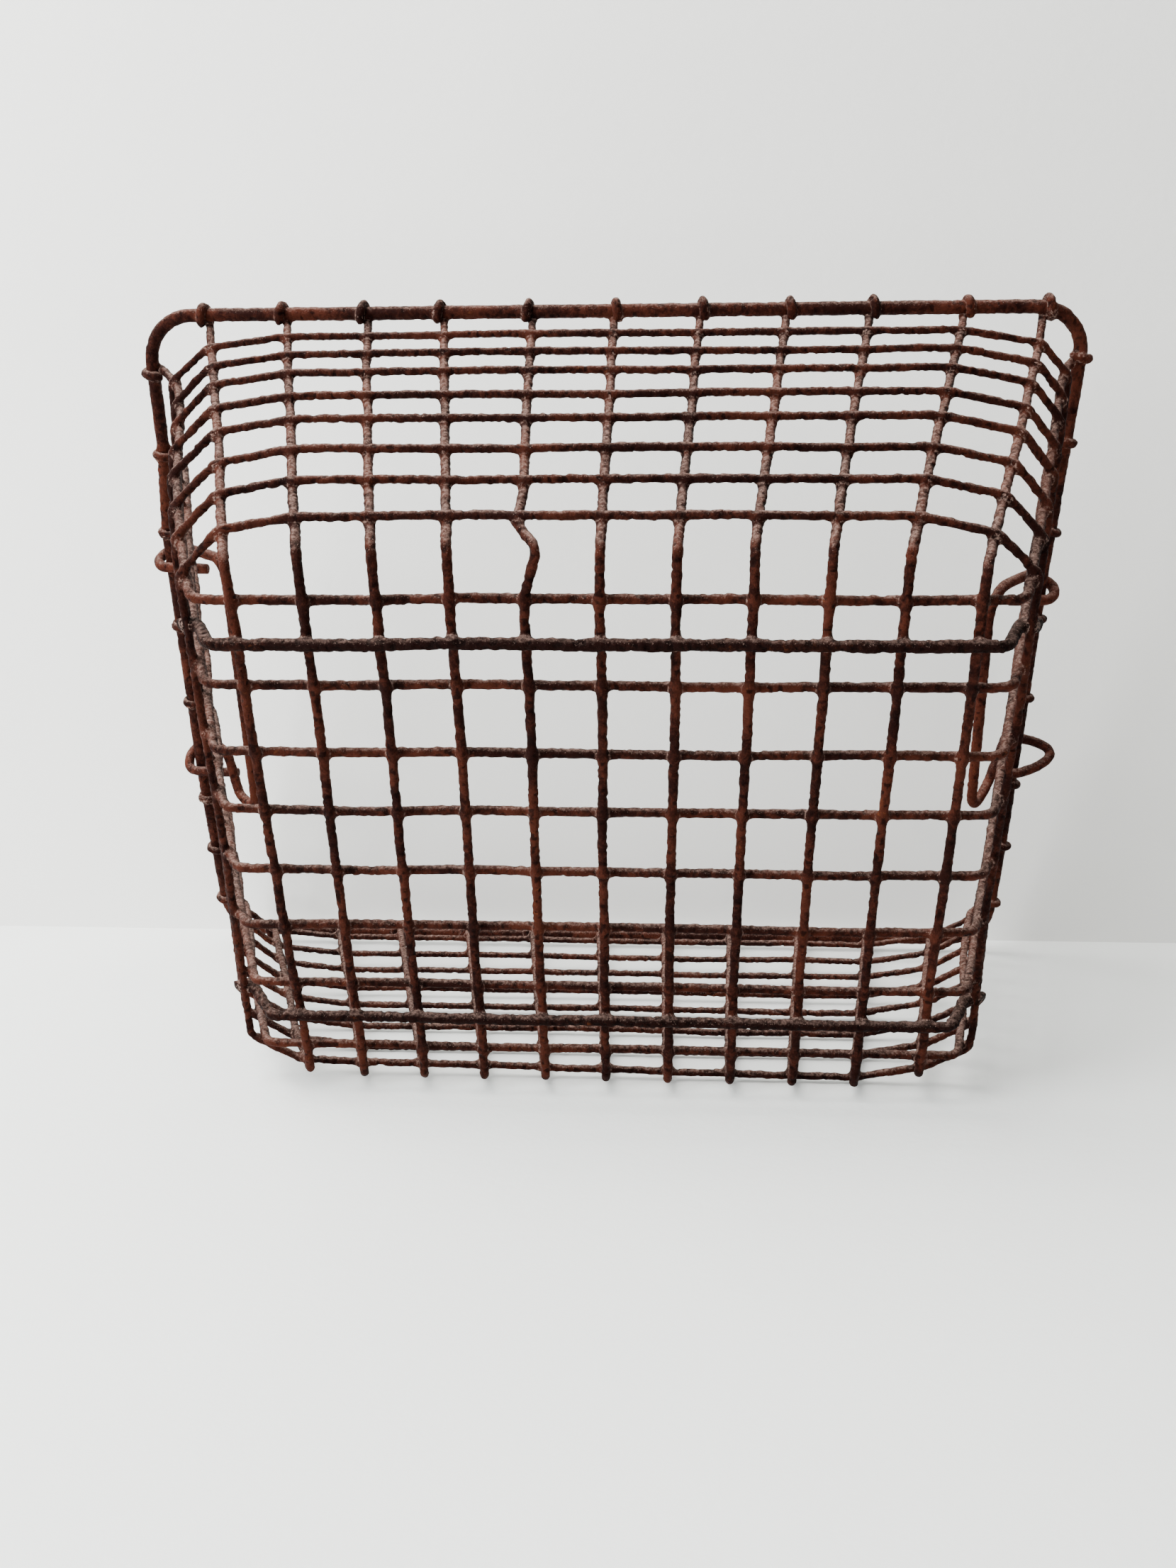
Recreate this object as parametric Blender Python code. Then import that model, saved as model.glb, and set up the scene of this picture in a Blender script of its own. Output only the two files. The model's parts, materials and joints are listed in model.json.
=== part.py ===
"""A rusted steel-wire carrying basket with two drop handles, standing on one of its long side walls.

The basket is laid out in its own frame: x runs along its length, y is its depth, from the base
out to the rim, and z runs across its width. The whole basket is then tilted until its lower long
wall rests on the ground. Sizes are in millimetres up to the moment a piece becomes an object.
"""
import math

import bpy
import numpy as np
from mathutils import Matrix, Vector

MM = 0.001

# Driving dimensions, in millimetres.
BASE_PITCH = 25.0            # spacing of the long wires on the base
RIM_PITCH = 36.25            # spacing of the same wires at the rim
LONG_WIRES = 11
BASE_HALF_WIDTH = 112.0      # base plane to the corner where the long wires turn up
BASE_HALF_LENGTH = 140.0     # the same corner of the cross wires, at the ends
RIM_HALF_WIDTH = 162.4       # centreline of the rim's long sides
RIM_DEPTH = 175.7            # base wires to the rim's centreline
RIM_LEFT = -211.2            # where the rim's left end rod crosses the middle of the width
RIM_RIGHT = 197.8
LEFT_LEAN = 0.0345           # how far each end rod leans out of square, per millimetre of width
RIGHT_LEAN = 0.0129
RIM_CORNER_RADIUS = 21.0
HINGE_SPAN = 40.0            # half the straight run of an end rod between its handle's eyes
STAND_ANGLE = math.radians(16.6)   # tilt that lays the lower long wall on the ground

WIRE_RADIUS = 1.7
RIM_RADIUS = 3.0
RUNNER_RADIUS = 2.2
HANDLE_RADIUS = 2.5
GAP = 0.4                    # left between pieces that touch
WIRE_STEP = 2 * WIRE_RADIUS + GAP  # centre to centre of two wires that cross
HOOK_RADIUS = RIM_RADIUS + WIRE_RADIUS + GAP
WIRE_BEND = 6.0              # centreline radius where a wire turns up from the base
HOOP_BEND = 4.0

# Where the wires meet the base and the rim, across the width.
CROSS_BASE = (93.8, 62.5, 36.3, 12.5, -13.2, -38.2, -66.1, -97.6)
CROSS_RIM_LEFT = (140.0, 104.0, 67.0, 20.0, -21.0, -76.0, -107.0, -139.0)
CROSS_RIM_RIGHT = (139.0, 103.4, 63.2, 21.5, -19.6, -67.5, -104.0, -139.0)
RUNNER_ACROSS = {"base_runner_upper": 80.1, "base_runner_lower": -78.3}
HOOP_DEPTHS = (160.0, 139.0, 120.0, 98.5, 79.0, 56.5, 35.5, 13.6)
# Hand-bent hooks: how far each one landed from its even spacing at the upper and lower rim.
UPPER_DRIFT = (2.6, 1.6, 0.9, -2.0, 0.5, -0.6, 0.0, 0.7, -0.2, 3.3, 0.7)
LOWER_DRIFT = (-11.5, -11.0, -13.2, -11.3, -12.0, -11.0, -11.5, -12.0, -10.5, -9.6, -11.8)
EYE_SLANT = (-2.4, -2.4, -2.4, -2.4, -2.4, 2.0, 2.0, 2.0, 2.0, 2.0, 0.8)   # of each hook's cut end
END_WIRE_INSET = {0: 4.0, LONG_WIRES - 1: 5.8}   # the outer wires follow the hoops' corners inward
WALL_BOW = 2.8               # how far the long walls swell outward at half depth
WALL_FLARE = 1.2             # the wires' last turn outward, on to the rim
KINKED_WIRE = 4              # a knock bent this wire sideways at the base's upper corner
KINK = 4.6
KINK_NECK = -2.2             # how far it strays the other way, just above
UPPER_WAIST = (1.0, -0.4, -0.7, 0.0, -0.8, 0.0, 0.0, 0.0, 0.0, 0.0, 0.0)   # its wires' bow at half depth
# How far the end walls are dented in below the rim, at each cross wire, and how far up that begins.
END_WALL_DIP = {-1: (4.8, 3.4, 4.0, 4.0, 4.0, 4.0, 3.6, 4.8), 1: (0.7, 0.5, 0.3, 0.0, 0.0, 0.3, 1.2, 4.6)}
DIP_FROM = {-1: 0.35, 1: 0.12}
# How far the end rods are knocked outward, at heights from the lower corner to the upper.
RIM_BOW = {-1: ((-162, 0.4), (-64, 4.2), (66, 4.2), (108, 0.5), (162, 0.0)),
           1: ((-162, 3.2), (-100, 3.2), (44, 0.0), (162, 0.0))}
HOOK_RISE = {-1: -3.0, 1: 3.0}   # how far each cross wire's hook climbs along the end rod
# How far the hoops stand off the end walls near the base.
HOOP_LOOSE = {-1: (0.0, 0.0, 0.0, 0.0, 0.0, 0.6, 2.0, 3.4), 1: (0.0, 0.0, 0.0, 0.0, 0.0, 0.0, 0.8, 1.8)}
RUNNER_WRAP = math.radians(125)


def rim_end(side, z):
    """x of the rim's left (-1) or right (+1) end rod at height z."""
    bow = float(np.interp(z, [height for height, out in RIM_BOW[side]], [out for height, out in RIM_BOW[side]]))
    if side < 0:
        return RIM_LEFT + LEFT_LEAN * z - bow
    return RIM_RIGHT + RIGHT_LEAN * z + bow


def hinge_lean(side):
    """Slope of the straight middle of an end rod, which its handle turns on."""
    return (rim_end(side, HINGE_SPAN) - rim_end(side, -HINGE_SPAN)) / (2 * HINGE_SPAN)


def smoothstep(x, low, high):
    t = min(1.0, max(0.0, (x - low) / (high - low)))
    return t * t * (3 - 2 * t)


def unit(v):
    return v / np.linalg.norm(v)


def arc(start, turn, steps):
    """Angles from start through turn, both in radians."""
    return [start + turn * i / steps for i in range(steps + 1)]


def bend(corner, before, after, radius, steps=3):
    """Points of the round bend at corner, between the straight runs to before and after."""
    u = unit(corner - before)
    v = unit(after - corner)
    half_turn = 0.5 * math.acos(max(-1.0, min(1.0, float(np.dot(u, v)))))
    if half_turn < 0.02:
        return [corner]
    reach = radius * math.tan(half_turn)
    centre = corner + unit(v - u) * radius / math.cos(half_turn)
    first = corner - u * reach - centre
    side = u * radius
    return [centre + first * math.cos(a) + side * math.sin(a) for a in arc(0.0, 2 * half_turn, steps)]


def bent_wire(corners, radii, closed=False, steps=3):
    """A wire's centreline: straight runs through the corners, each rounded to its radius."""
    corners = [np.array(c, float) for c in corners]
    count = len(corners)
    path = []
    for i, corner in enumerate(corners):
        at_end = i in (0, count - 1) and not closed
        if at_end or radii[i] == 0:
            path.append(corner)
        else:
            path += bend(corner, corners[i - 1], corners[(i + 1) % count], radii[i], steps)
    return path


def tangent_angle(centre, radius, outside):
    """Where a straight wire from the point outside touches a circle, on its inner side."""
    away = np.array(outside, float) - np.array(centre, float)
    return math.atan2(away[1], away[0]) - math.acos(radius / np.linalg.norm(away))


def hook(corner, rod, radius, wrap=math.radians(272), steps=8):
    """Round a rod, in the plane (outward, depth): from the wall, over the rod and back below it."""
    start = tangent_angle(rod, radius, corner)
    return [(rod[0] + radius * math.cos(a), rod[1] + radius * math.sin(a)) for a in arc(start, -wrap, steps)]


def long_wire_x(i, side, depth):
    """x of long wire i on the upper (+1) or lower (-1) wall."""
    base = (i - (LONG_WIRES - 1) / 2) * BASE_PITCH
    drift = UPPER_DRIFT[i] if side > 0 else LOWER_DRIFT[i]
    rim = (i - (LONG_WIRES - 1) / 2) * RIM_PITCH + drift
    share = depth / RIM_DEPTH
    waist = UPPER_WAIST[i] * 4 * share * (1 - share) if side > 0 else 0.0
    return base + (rim - base) * share + waist


def long_wall_z(depth, inset=0.0):
    """Height of the long wall's wires above the middle of the width."""
    slope_angle = math.atan2(RIM_HALF_WIDTH - BASE_HALF_WIDTH, RIM_DEPTH)
    rim = RIM_HALF_WIDTH - HOOK_RADIUS / math.cos(slope_angle) - WALL_FLARE
    share = depth / RIM_DEPTH
    held = min(1.0, (RIM_DEPTH - depth) / (RIM_DEPTH - HOOP_DEPTHS[0]))
    bow = WALL_BOW * 4 * share * (1 - share)
    return BASE_HALF_WIDTH + (rim - BASE_HALF_WIDTH) * share + bow - inset * held


def long_wire_path(i):
    """Hook, lower wall, base, upper wall, hook."""
    inset = END_WIRE_INSET.get(i, 0.0)
    path = []
    for side in (-1, 1):
        corner = (long_wall_z(0, inset), 0.0)
        x_base = long_wire_x(i, side, 0)
        depths = [HOOP_DEPTHS[k] for k in (6, 4, 2, 0)]
        wall = [(long_wire_x(i, side, d), d, side * long_wall_z(d, inset)) for d in depths]
        x_rim = long_wire_x(i, side, RIM_DEPTH)
        last = (long_wall_z(depths[-1], inset), depths[-1])
        turns = hook(last, (RIM_HALF_WIDTH, RIM_DEPTH), HOOK_RADIUS)
        slant = EYE_SLANT[i] / (len(turns) - 1)
        eye = [(x_rim + slant * n, y, side * z) for n, (z, y) in enumerate(turns)]
        rising = [(x_base, corner[1], side * corner[0])] + wall + eye
        radii = [WIRE_BEND] + [0] * (len(rising) - 1)
        if side < 0:
            path += list(zip(rising[::-1], radii[::-1]))
        else:
            path += list(zip(rising, radii))
    if i == KINKED_WIRE:
        path = kinked(path)
    return bent_wire([p for p, r in path], [r for p, r in path])


def kinked(path):
    """The knocked wire turns its corner to one side of its line, and comes back on the base."""
    corner = next(n for n, (p, r) in enumerate(path) if r and p[2] > 0)
    (x, y, z), radius = path[corner]
    foot = ((x, y, z - 17.0), 10.0)
    rise = HOOP_DEPTHS[-1]
    neck = ((long_wire_x(KINKED_WIRE, 1, rise) + KINK_NECK, rise, long_wall_z(rise)), 8.0)
    return path[:corner] + [foot, ((x + KINK, y, z), 4.0), neck] + path[corner + 1:]


def end_wall_x(side, z_rim, depth):
    """x of an end wall's wires, for the one that meets the rim at z_rim."""
    slope_angle = math.atan2(abs(rim_end(side, z_rim)) - BASE_HALF_LENGTH, RIM_DEPTH)
    rim = abs(rim_end(side, z_rim)) - HOOK_RADIUS / math.cos(slope_angle)
    share = (depth - WIRE_STEP) / (RIM_DEPTH - WIRE_STEP)
    crossings = [-z for z in (CROSS_RIM_LEFT if side < 0 else CROSS_RIM_RIGHT)]
    dent = float(np.interp(-z_rim, crossings, END_WALL_DIP[side])) * smoothstep(share, DIP_FROM[side], 0.8)
    return side * (BASE_HALF_LENGTH + (rim - BASE_HALF_LENGTH) * share - dent)


def cross_wire_z(j, side, depth):
    rim = CROSS_RIM_LEFT[j] if side < 0 else CROSS_RIM_RIGHT[j]
    return CROSS_BASE[j] + (rim - CROSS_BASE[j]) * depth / RIM_DEPTH


def cross_wire_path(j):
    """Hook, left wall, base, right wall, hook, inside the long wires."""
    path = []
    for side in (-1, 1):
        z_rim = cross_wire_z(j, side, RIM_DEPTH)
        depths = [HOOP_DEPTHS[k] for k in (6, 5, 4, 3, 2, 1, 0)]
        wall = [(end_wall_x(side, z_rim, d), d, cross_wire_z(j, side, d)) for d in depths]
        turns = hook((abs(wall[-1][0]), depths[-1]), (side * rim_end(side, z_rim), RIM_DEPTH), HOOK_RADIUS)
        rise = HOOK_RISE[side] / len(turns)
        drift = [rim_end(side, z_rim + rise * n) - rim_end(side, z_rim) for n in range(len(turns))]
        eye = [(side * x + drift[n], y, z_rim + rise * n) for n, (x, y) in enumerate(turns)]
        rising = [(side * BASE_HALF_LENGTH, WIRE_STEP, CROSS_BASE[j])] + wall + eye
        radii = [WIRE_BEND] + [0] * (len(rising) - 1)
        path += list(zip(rising[::-1], radii[::-1])) if side < 0 else list(zip(rising, radii))
    return bent_wire([p for p, r in path], [r for p, r in path])


def hoop_path(depth):
    """A closed hoop round the outside of the wall wires, with cut-off corners."""
    last = LONG_WIRES - 1
    ring = []
    for side, order in ((1, range(LONG_WIRES)), (-1, range(last, -1, -1))):
        picks = [i for i in order if i in (0, 1, last - 1, last)]
        for i in picks:
            inset = END_WIRE_INSET.get(i, 0.0)
            ring.append((long_wire_x(i, side, depth), side * long_wall_z(depth, inset)))
        end = 1 if side > 0 else -1
        for j in (range(8) if side > 0 else range(7, -1, -1)):
            rim = CROSS_RIM_RIGHT[j] if end > 0 else CROSS_RIM_LEFT[j]
            loose = HOOP_LOOSE[end][j] * (1 - smoothstep(depth, 60.0, 150.0))
            ring.append((end_wall_x(end, rim, depth) + end * loose, cross_wire_z(j, end, depth)))
    return ring_outside(ring, depth)


def ring_outside(ring, depth):
    """Move a clockwise ring of wire centres outward until the hoop lies round them."""
    count = len(ring)
    clearance = WIRE_STEP / math.cos(math.radians(20))
    corners = []
    radii = []
    for n, here in enumerate(ring):
        here = np.array(here)
        u = unit(here - np.array(ring[n - 1]))
        v = unit(np.array(ring[(n + 1) % count]) - here)
        outward = unit(np.array([-u[1] - v[1], u[0] + v[0]]))
        half_turn = 0.5 * math.acos(max(-1.0, min(1.0, float(np.dot(u, v)))))
        sharp = half_turn > math.radians(10)
        radius = HOOP_BEND if sharp else 0.0
        reach = clearance + radius * (1 / math.cos(half_turn) - 1)
        corner = here + outward * reach
        corners.append((corner[0], depth, corner[1]))
        radii.append(radius)
    return bent_wire(corners, radii, closed=True)


def hoop_out(side, z, depth):
    """How far out a hoop passes the end wall at height z."""
    run = sorted((p[2], abs(p[0])) for p in hoop_path(depth) if side * p[0] > BASE_HALF_LENGTH)
    return float(np.interp(z, [height for height, out in run], [out for height, out in run]))


def runner_path(z):
    """A thick rod along the outside of the base, each end hooked round the hoop next to the base."""
    base_side = -(WIRE_RADIUS + RUNNER_RADIUS + GAP)
    eye_radius = WIRE_RADIUS + RUNNER_RADIUS + GAP
    depth = HOOP_DEPTHS[-1]
    path = []
    for side in (-1, 1):
        wall = hoop_out(side, z, depth)
        turn = (BASE_HALF_LENGTH - 6.0, base_side)
        eye = [(side * x, y, z) for x, y in hook(turn, (wall, depth), eye_radius, RUNNER_WRAP, 5)]
        rising = [(side * turn[0], turn[1], z)] + eye
        radii = [4.0] + [0] * len(eye)
        path += list(zip(rising[::-1], radii[::-1])) if side < 0 else list(zip(rising, radii))
    return bent_wire([p for p, r in path], [r for p, r in path])


def rim_path():
    w = RIM_HALF_WIDTH
    corners = []
    radii = []
    for side, rising in ((-1, True), (1, False)):
        knocks = [z for z, out in RIM_BOW[side] if abs(z) < w - RIM_CORNER_RADIUS - 10]
        heights = [-w] + knocks + [w]
        for z in heights if rising else heights[::-1]:
            corners.append((rim_end(side, z), RIM_DEPTH, z))
            radii.append(RIM_CORNER_RADIUS if abs(z) == w else 0)
    return bent_wire(corners, radii, closed=True, steps=5)


HANDLE_EYE = RIM_RADIUS + HANDLE_RADIUS + GAP
HANDLE_FOLD = math.radians(42)   # the folded handle's angle from the basket's depth, into the basket
KNEE_BEND = 6.0
HANDLES = {
    # Heights of the arm and of the cut end at the upper and the lower eye, how far each eye
    # bulges out behind the rod and each cut end's length. Then the bends in the upper and the
    # lower arm and the grip's two ends, each as (reach, height), and how far the grip hangs inward.
    "left_handle": dict(side=-1, arms=(57.5, -45.0), ends=(50.0, -59.5), bulge=(6.2, 6.2), stubs=(19.0, 21.0),
                        knees=([(14.0, 58.5)], [(28.0, -67.0), (20.0, -46.5)]),
                        grip=((41.5, 61.5), (44.0, -69.0)), bends=(9.0, 6.0), drop=8.5),
    "right_handle": dict(side=1, arms=(43.5, -41.0), ends=(34.0, -57.0), bulge=(7.5, 20.0), stubs=(15.0, 4.0),
                         knees=([(14.0, 45.0)], [(15.0, -61.0)]),
                         grip=((42.5, 47.0), (33.0, -72.0)), bends=(14.0, 7.0), drop=3.0),
}


def handle_eye(arm, end, bulge, stub):
    """Round the end rod from the arm's side, in (reach, side, height), out to the cut end."""
    wrap = math.pi + (math.pi / 2 - HANDLE_FOLD)
    turns = []
    for a in arc(0.0, wrap, 24):
        bulging = (bulge - HANDLE_EYE) * max(0.0, math.sin(a)) ** 0.9
        height = arm + (end - arm) * min(1.0, a / math.pi)
        reach = -HANDLE_EYE * math.sin(a) - bulging * math.sin(HANDLE_FOLD)
        side = HANDLE_EYE * math.cos(a) - bulging * math.cos(HANDLE_FOLD)
        clear = max(1.0, (HANDLE_EYE + 0.2) / math.hypot(reach, side))
        turns.append((reach * clear, side * clear, height))
    reach, side, height = turns[-1]
    tip = (reach + stub * math.sin(HANDLE_FOLD), side + stub * math.cos(HANDLE_FOLD), height)
    return turns + [tip]


def handle_path(spec):
    """Cut end, upper eye, arm, grip, arm, lower eye, cut end, about the rod's own axis."""
    upper = handle_eye(spec["arms"][0], spec["ends"][0], spec["bulge"][0], spec["stubs"][0])
    lower = handle_eye(spec["arms"][1], spec["ends"][1], spec["bulge"][1], spec["stubs"][1])
    drop = spec["drop"]
    grip = [(reach, drop, z) for reach, z in spec["grip"]]
    top_knees, low_knees = ([(reach, 3.5 + 0.4 * drop, z) for reach, z in knees] for knees in spec["knees"])
    corners = upper[::-1] + top_knees + grip + low_knees + lower
    bends = [KNEE_BEND] * len(top_knees) + [*spec["bends"]] + [KNEE_BEND] * len(low_knees)
    radii = [0] * len(upper) + bends + [0] * len(lower)
    reach_axis = np.array((-math.sin(HANDLE_FOLD) * spec["side"], -math.cos(HANDLE_FOLD), 0))
    side_axis = np.array((-math.cos(HANDLE_FOLD) * spec["side"], math.sin(HANDLE_FOLD), 0))
    height_axis = np.array((0, 0, 1))
    path = bent_wire(corners, radii)
    return [reach_axis * p[0] + side_axis * p[1] + height_axis * p[2] for p in path]


def material(name, colour, roughness, metallic):
    mat = bpy.data.materials.new(name)
    mat.use_nodes = True
    shader = mat.node_tree.nodes["Principled BSDF"]
    shader.inputs["Base Color"].default_value = (*colour, 1)
    shader.inputs["Roughness"].default_value = roughness
    shader.inputs["Metallic"].default_value = metallic
    mat.diffuse_color = (*colour, 1)
    return mat


def rod(name, path, radius, mat, closed=False, resolution=1):
    """A round rod along a path, as a bevelled curve under the basket's frame."""
    curve = bpy.data.curves.new(name, "CURVE")
    curve.dimensions = "3D"
    curve.bevel_depth = radius * MM
    curve.bevel_resolution = resolution
    curve.use_fill_caps = True
    curve.resolution_u = 1
    spline = curve.splines.new("POLY")
    spline.points.add(len(path) - 1)
    for point, place in zip(spline.points, path):
        point.co = (*(float(c) * MM for c in place), 1)
    spline.use_cyclic_u = closed
    spline.use_smooth = True
    curve.materials.append(mat)
    obj = bpy.data.objects.new(name, curve)
    bpy.context.scene.collection.objects.link(obj)
    obj.parent = bpy.data.objects["basket_frame"]
    return obj


def clear_scene():
    for obj in list(bpy.data.objects):
        bpy.data.objects.remove(obj)


def add_frame():
    frame = bpy.data.objects.new("basket_frame", None)
    bpy.context.scene.collection.objects.link(frame)
    frame.rotation_euler = (STAND_ANGLE, 0, 0)


def add_handle(name, spec, mat):
    """The handle's origin is on its end rod, and its own Z runs along the rod."""
    obj = rod(name, handle_path(spec), HANDLE_RADIUS, mat, resolution=2)
    obj.location = Vector((rim_end(spec["side"], 0), RIM_DEPTH, 0)) * MM
    obj.rotation_euler = (0, math.atan(hinge_lean(spec["side"])), 0)


def stand_on_ground():
    """Put the basket's box centre over the origin and its lowest point on the ground."""
    bpy.context.view_layer.update()
    graph = bpy.context.evaluated_depsgraph_get()
    points = []
    for obj in bpy.data.objects:
        if obj.type == "CURVE":
            shell = obj.evaluated_get(graph)
            points += [shell.matrix_world @ v.co for v in shell.to_mesh().vertices]
            shell.to_mesh_clear()
    points = np.array([tuple(p) for p in points])
    low, high = points.min(axis=0), points.max(axis=0)
    middle = (low + high) / 2
    bpy.data.objects["basket_frame"].location = (-middle[0], -middle[1], -low[2])


def main():
    clear_scene()
    add_frame()
    wire = material("rusty_wire", (0.115, 0.034, 0.018), 0.85, 0.1)
    hoop = material("rusty_hoop", (0.105, 0.036, 0.022), 0.85, 0.1)
    rim = material("rusty_rim", (0.13, 0.048, 0.028), 0.8, 0.1)
    dark = material("dark_scale", (0.035, 0.016, 0.013), 0.9, 0.1)
    grip = material("rusty_handle", (0.19, 0.07, 0.04), 0.75, 0.1)
    rod("rim_rod", rim_path(), RIM_RADIUS, rim, closed=True, resolution=2)
    for i in range(LONG_WIRES):
        rod(f"long_wire_{i + 1:02d}", long_wire_path(i), WIRE_RADIUS, wire)
    for j in range(len(CROSS_BASE)):
        rod(f"cross_wire_{j + 1}", cross_wire_path(j), WIRE_RADIUS, wire)
    for name, z in RUNNER_ACROSS.items():
        rod(name, runner_path(z), RUNNER_RADIUS, dark, resolution=2)
    for k, depth in enumerate(HOOP_DEPTHS):
        rod(f"wall_hoop_{k + 1}", hoop_path(depth), WIRE_RADIUS, hoop, closed=True)
    for name, spec in HANDLES.items():
        add_handle(name, spec, grip)
    stand_on_ground()


main()
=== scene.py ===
"""The look of the rusted wire carrying basket: pitted, scaly bars, welded where they cross.

Everything is worked out in millimetres in the basket's own frame, where x runs along its length, y is
the depth from the base out to the rim and z runs across its width. It is then set into the row frame.
"""
import json
import math
from itertools import product

import bpy
import numpy as np
from mathutils import Matrix, Vector
from mathutils.kdtree import KDTree


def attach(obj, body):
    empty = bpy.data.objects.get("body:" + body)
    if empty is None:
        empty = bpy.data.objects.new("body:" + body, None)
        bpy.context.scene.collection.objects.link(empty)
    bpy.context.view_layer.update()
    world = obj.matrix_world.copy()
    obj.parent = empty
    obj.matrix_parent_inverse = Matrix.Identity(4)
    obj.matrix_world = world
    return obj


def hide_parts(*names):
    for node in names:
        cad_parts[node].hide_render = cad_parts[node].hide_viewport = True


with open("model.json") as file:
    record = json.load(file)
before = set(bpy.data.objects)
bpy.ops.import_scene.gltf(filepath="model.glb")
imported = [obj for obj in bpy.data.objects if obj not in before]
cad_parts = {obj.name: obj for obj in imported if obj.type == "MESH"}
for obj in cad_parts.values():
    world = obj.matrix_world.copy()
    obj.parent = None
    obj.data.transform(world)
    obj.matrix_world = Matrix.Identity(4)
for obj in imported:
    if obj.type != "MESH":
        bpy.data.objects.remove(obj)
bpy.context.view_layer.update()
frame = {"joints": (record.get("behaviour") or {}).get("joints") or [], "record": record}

MM = 0.001

# The basket's sizes, as in the CAD model, in millimetres.
BASE_PITCH = 25.0
RIM_PITCH = 36.25
LONG_WIRES = 11
LAST = LONG_WIRES - 1
BASE_HALF_WIDTH = 112.0
BASE_HALF_LENGTH = 140.0
RIM_HALF_WIDTH = 162.4
RIM_DEPTH = 175.7
RIM_LEFT = -211.2
RIM_RIGHT = 197.8
LEFT_LEAN = 0.0345
RIGHT_LEAN = 0.0129
RIM_CORNER_RADIUS = 21.0
STAND_ANGLE = math.radians(16.6)

WIRE_RADIUS = 1.72
HOOP_RADIUS = 1.5
HOOK_THINNED = 0.84          # the hooks are drawn thinner than the wires they end
RIM_RADIUS = 2.8
RUNNER_RADIUS = 2.1
HANDLE_RADIUS = 2.4
WIRE_STEP = 2.9              # welded wires sink a little into each other
HOOK_RADIUS = 4.1
HOOK_WRAP = math.radians(300)
WIRE_BEND = 6.0
HOOP_BEND = 4.0
HOOP_HUG = 2.6               # how closely a hoop's corners hug the wires inside them

CROSS_BASE = (93.8, 62.5, 36.3, 12.5, -13.2, -38.2, -66.1, -97.6)
CROSS_RIM_LEFT = (140.0, 104.0, 67.0, 20.0, -21.0, -76.0, -107.0, -139.0)
CROSS_RIM_RIGHT = (139.0, 103.4, 63.2, 21.5, -19.6, -67.5, -104.0, -139.0)
RUNNER_ACROSS = {"base_runner_upper": 80.1, "base_runner_lower": -78.3}
HOOP_DEPTHS = (160.0, 139.0, 120.0, 98.5, 79.0, 56.5, 35.5, 13.6)
UPPER_DRIFT = (2.6, 1.6, 0.9, -2.0, 0.5, -0.6, 0.0, 0.7, -0.2, 3.3, 0.7)
LOWER_DRIFT = (-11.5, -11.0, -13.2, -11.3, -12.0, -11.0, -11.5, -12.0, -10.5, -9.6, -11.8)
EYE_SLANT = (-2.4, -2.4, -2.4, -2.4, -2.4, 2.0, 2.0, 2.0, 2.0, 2.0, 2.0)
LOWER_FOOT = {0: 2.6}        # how far along a wire's lower corner was pushed
LOWER_FOOT_SINKS = 2.0
UPPER_WAIST = (1.0, -0.4, -0.7, 0.0, -0.8, 0.0, 0.0, 0.0, 0.0, 0.0, 0.0)
END_WIRE_INSET = {0: 4.0, LAST: 5.8}
WALL_BOW = 2.8
WALL_FLARE = 1.2
ROD_SEAT = 5.1               # from a wire, measured square to the wall, to the middle of the rim's rod
KINKED_WIRE = 4
KINK = 4.6                   # how far the knocked wire stands out of its line at the corner
KINK_NECK = -2.2
KINK_BEND = 4.0
KINK_FOOT_BACK = 17.0        # where on the base the knocked wire is back on its line
KINK_FOOT_BEND = 10.0
KINK_NECK_BEND = 8.0
END_WALL_DIP = {-1: (4.8, 3.4, 4.0, 4.0, 4.0, 4.0, 3.6, 4.8), 1: (0.7, 0.5, 0.3, 0.0, 0.0, 0.3, 1.2, 4.6)}
DIP_FROM = {-1: 0.35, 1: 0.12}        # how far up the wall, as a share, the dent begins
# How far the end rods are knocked outward, at heights from the lower corner to the upper.
RIM_BOW = {-1: ((-162, 0.4), (-64, 4.2), (66, 4.2), (108, 0.5), (162, 0.0)),
           1: ((-162, 3.2), (-100, 3.2), (44, 0.0), (162, 0.0))}
KNOCK_CLEAR = 10.0                    # knocks nearer a corner's bend than this are left out
HOOK_RISE = {-1: -3.0, 1: 3.0}        # how far an end hook climbs along its rod as it goes round
# How far the hoops stand off the end walls near the base. The last hoop is lifted at one corner.
HOOP_LOOSE = {-1: (0.0, 0.0, 0.0, 0.0, 0.0, 0.6, 2.0, 3.4), 1: (0.0, 0.0, 0.0, 0.0, 0.0, 0.0, 0.8, 1.8)}
HOOP_LIFT = 3.4
TIGHT_HOOKS = (2, 3, 4, 5)            # the left end's middle hooks grip the rod closely
TIGHT_HOOK_RADIUS = 3.4
HOOP_CLOSES_IN = (60.0, 150.0)        # the depths over which a hoop comes back to the end wall's wires
SHARP_TURN = math.radians(10)         # a hoop's turns above this, halved, are bent round a radius
HOOP_WIRE_SLOPE = math.radians(18)    # the walls' mean slope, which widens a hoop's stand-off
RUNNER_WRAP = math.radians(125)
RUNNER_SINKS = 0.3                    # into the base wires, at its welds
RUNNER_TURN_INSET = 6.0
RUNNER_TURN_BEND = 4.0

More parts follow.
